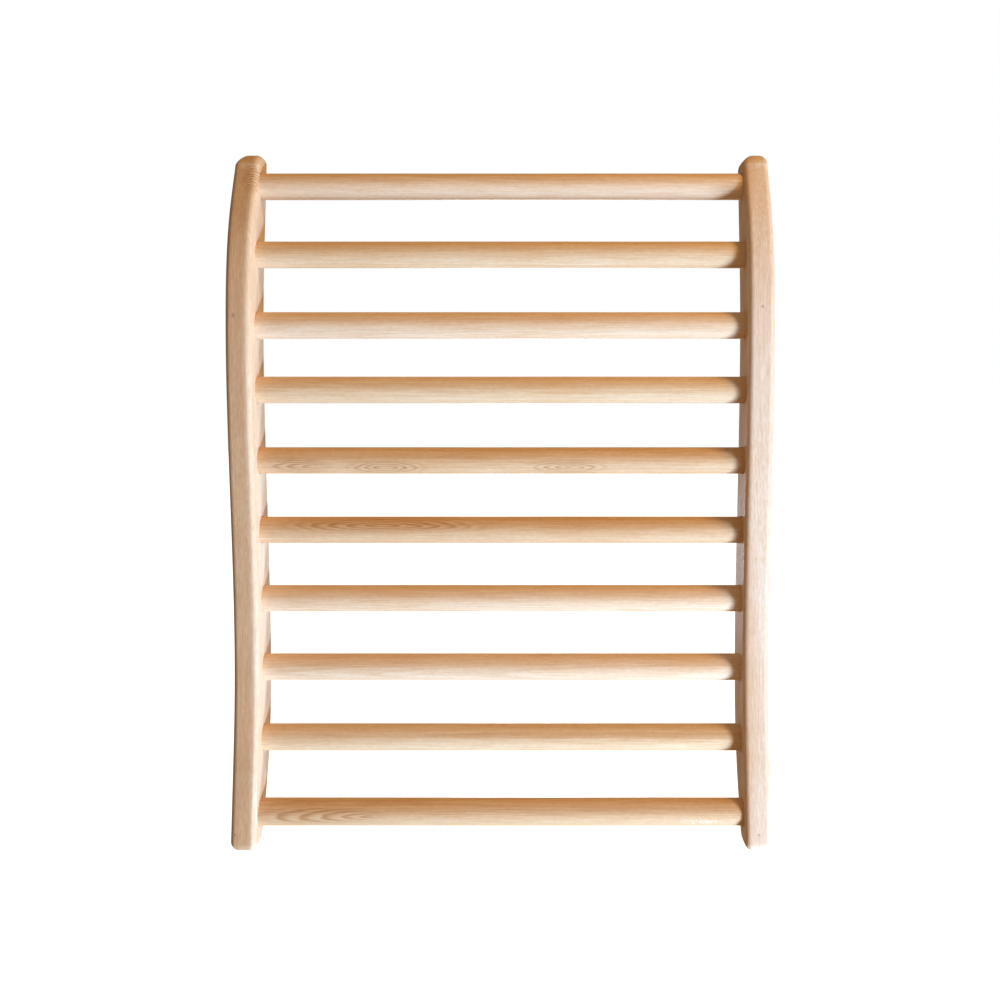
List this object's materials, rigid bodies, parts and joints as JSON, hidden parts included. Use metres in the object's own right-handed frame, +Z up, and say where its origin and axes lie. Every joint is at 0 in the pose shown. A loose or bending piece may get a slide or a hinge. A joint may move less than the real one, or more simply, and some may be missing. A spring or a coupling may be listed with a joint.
{
  "type": "ladder backrest",
  "caption": "Wooden ladder-style backrest: two S-curved side rails joined by evenly spaced round rungs.",
  "frame": {"origin": "on the floor plane, under the middle of the backrest's bounding box", "axes": "+X is the width, to the right seen from the front; the front faces -Y; +Z is up, along the rails"},
  "size_m": [0.4, 0.0626, 0.52],
  "materials": {
    "rail_wood": "bare sanded softwood, matt",
    "rung_wood": "bare sanded softwood dowel, matt"
  },
  "bodies": {
    "root": {"left_rail": "rail_wood", "right_rail": "rail_wood", "rung_01": "rung_wood", "rung_02": "rung_wood", "rung_03": "rung_wood", "rung_04": "rung_wood", "rung_05": "rung_wood", "rung_06": "rung_wood", "rung_07": "rung_wood", "rung_08": "rung_wood", "rung_09": "rung_wood", "rung_10": "rung_wood"}
  },
  "joints": []
}
